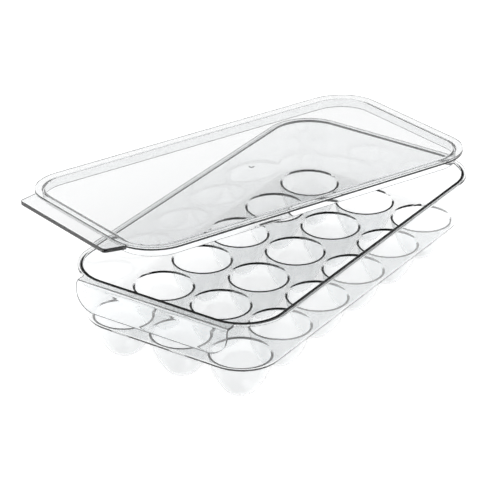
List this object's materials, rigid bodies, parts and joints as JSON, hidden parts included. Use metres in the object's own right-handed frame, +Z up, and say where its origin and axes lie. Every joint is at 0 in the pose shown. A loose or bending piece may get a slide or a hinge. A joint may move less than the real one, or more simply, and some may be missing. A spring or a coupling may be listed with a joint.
{
  "type": "egg keeper",
  "caption": "Clear shallow tray with hanging moulded egg cups and a front pull, and a loose lift-off lid with a grip tab lying askew on its rim",
  "frame": {"origin": "the middle of the tray in plan, on the level surface that the feet of the cups stand on", "axes": "+Z up, +Y along the tray toward its back end, -Y out of the end with the pull, +X to the right as seen from the front"},
  "size_m": [0.2608, 0.3766, 0.087],
  "materials": {
    "tray_plastic": "gloss",
    "lid_plastic": "gloss"
  },
  "bodies": {
    "tray": {"egg_cup_a1": "tray_plastic", "egg_cup_a2": "tray_plastic", "egg_cup_a3": "tray_plastic", "egg_cup_a4": "tray_plastic", "egg_cup_a5": "tray_plastic", "egg_cup_a6": "tray_plastic", "egg_cup_b1": "tray_plastic", "egg_cup_b2": "tray_plastic", "egg_cup_b3": "tray_plastic", "egg_cup_b4": "tray_plastic", "egg_cup_b5": "tray_plastic", "egg_cup_b6": "tray_plastic", "egg_cup_c1": "tray_plastic", "egg_cup_c2": "tray_plastic", "egg_cup_c3": "tray_plastic", "egg_cup_c4": "tray_plastic", "egg_cup_c5": "tray_plastic", "egg_cup_c6": "tray_plastic", "tray_wall": "tray_plastic", "front_pull": "tray_plastic"},
    "lid": {"lid_panel": "lid_plastic", "lid_locating_rib": "lid_plastic", "lid_grip_tab": "lid_plastic"}
  },
  "joints": [
    {"name": "lid_lift", "type": "slide", "parent": "tray", "child": "lid", "axis": [0, 0, 1], "range_m": [0, 0.1]}
  ]
}
